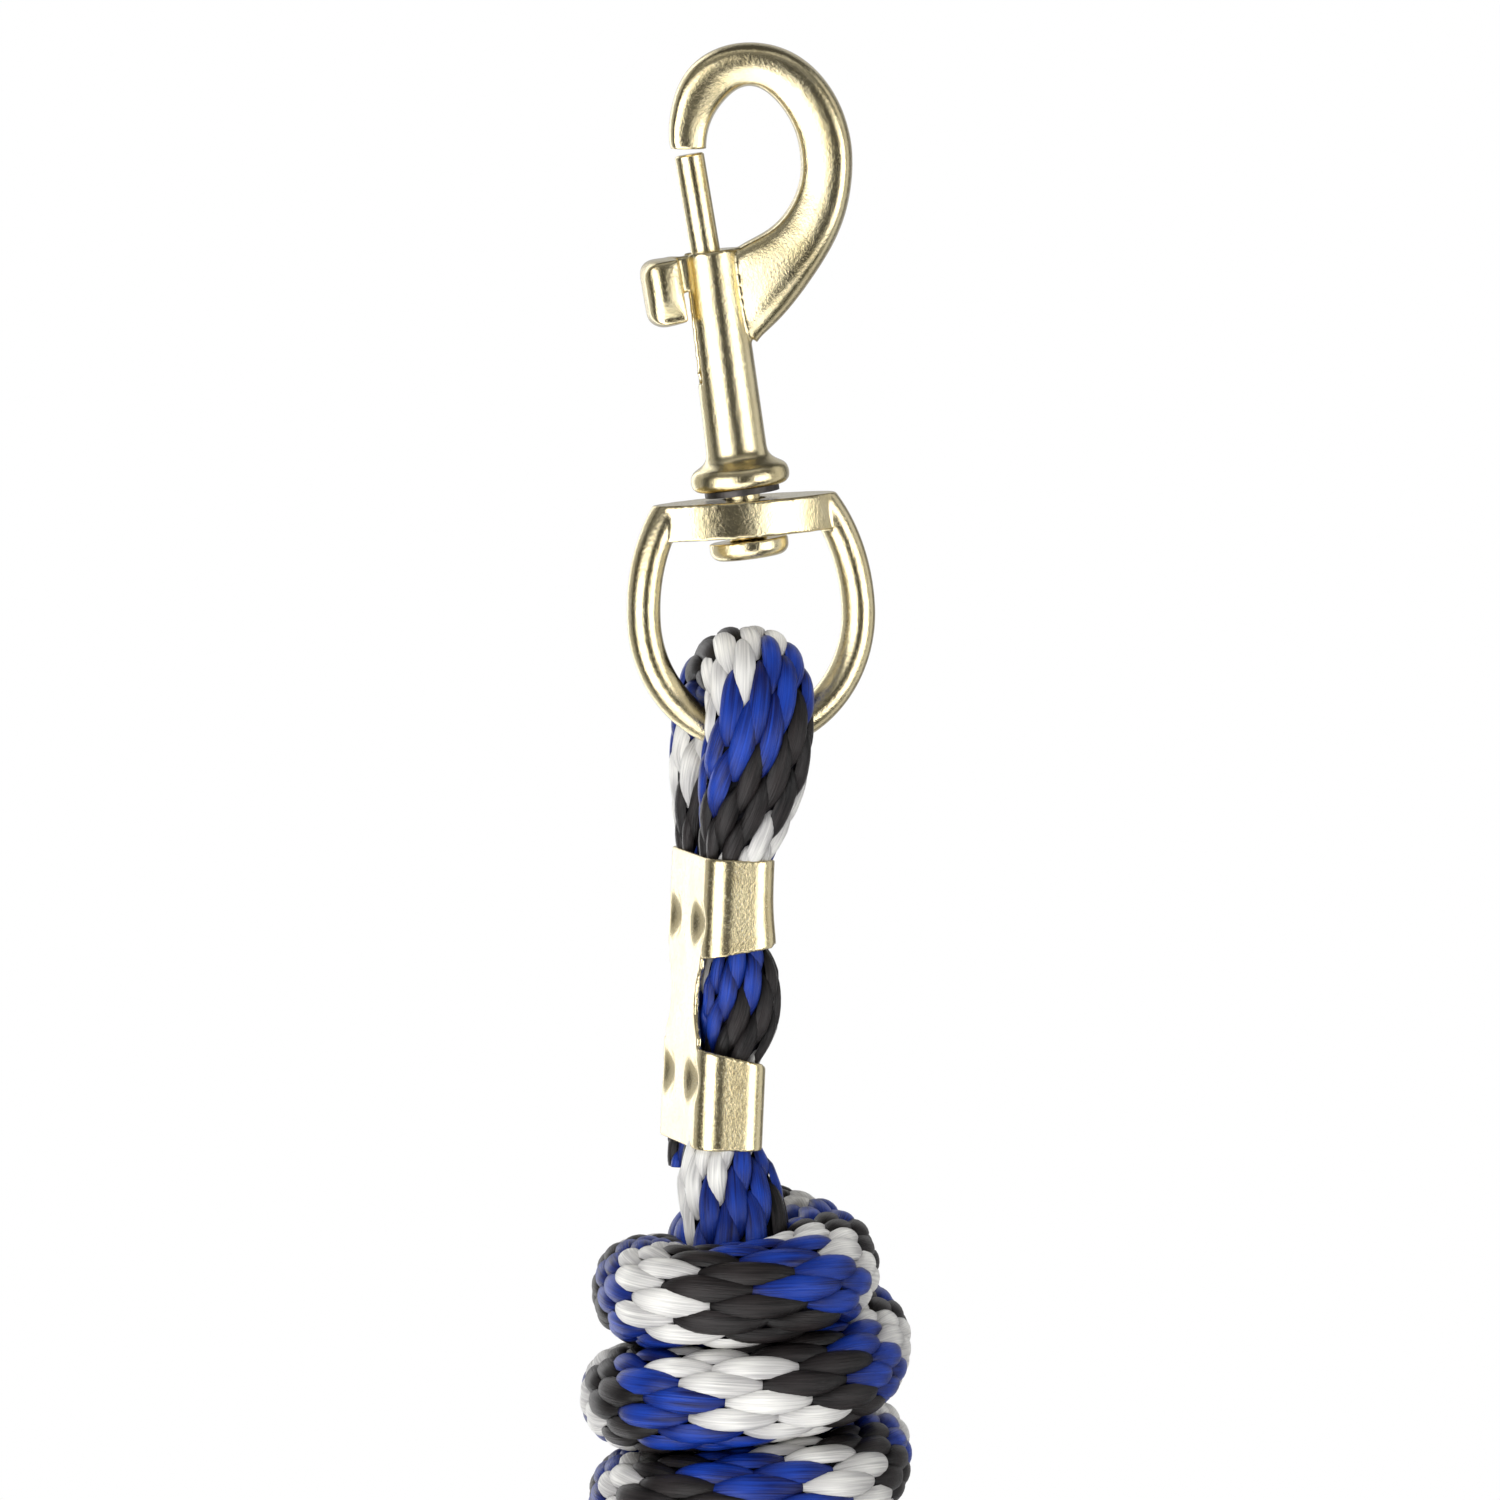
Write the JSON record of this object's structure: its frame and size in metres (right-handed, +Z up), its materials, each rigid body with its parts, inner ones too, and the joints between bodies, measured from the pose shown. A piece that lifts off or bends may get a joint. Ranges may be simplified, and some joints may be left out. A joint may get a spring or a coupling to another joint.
{
  "type": "lead rope",
  "caption": "Braided horse lead rope: a plated bolt snap turns above its swivel ring, a crimped metal clamp closes the rope eye, and the rope is wound into a hank.",
  "frame": {"origin": "crown of the hook's eye, where a halter ring bears and the snap hangs", "axes": "+Z up, +X towards the hook's arm, +Y to the back"},
  "size_m": [0.0517, 0.062, 0.3806],
  "materials": {
    "cast_brass": "bright plated casting",
    "satin_brass": "satin plated sheet",
    "dark_steel": "dull",
    "spring_steel": "drawn wire",
    "rope": "braided filament in white, royal blue and black"
  },
  "bodies": {
    "snap": {"snap_body": "cast_brass", "swivel_stud": "cast_brass", "swivel_washer": "dark_steel", "bolt_spring": "spring_steel"},
    "bolt": {"bolt": "cast_brass", "thumb_stud": "cast_brass"},
    "ring": {"swivel_ring": "cast_brass"},
    "rope": {"rope_clamp": "satin_brass", "rope_eye_loop": "rope", "rope_in_clamp": "rope", "rope_tail_end": "rope", "rope_neck": "rope", "rope_hank": "rope"}
  },
  "joints": [
    {"name": "bolt_slide", "type": "slide", "parent": "snap", "child": "bolt", "axis": [0.1668, 0, -0.986], "range_m": [0, 0.0125], "stiffness_N_per_m": 250, "springref_m": -0.012, "deforming": ["bolt_spring"]},
    {"name": "swivel", "type": "hinge", "parent": "snap", "child": "ring", "pos_m": [-0.00066, 0, -0.06146], "axis": [-0.0606, -0.0162, 0.998], "continuous": true},
    {"name": "eye_swing", "type": "hinge", "parent": "ring", "child": "rope", "pos_m": [-0.00119, -0.00014, -0.09274], "axis": [0.96, 0.2572, -0.1109], "range_deg": [-75, 75]}
  ]
}
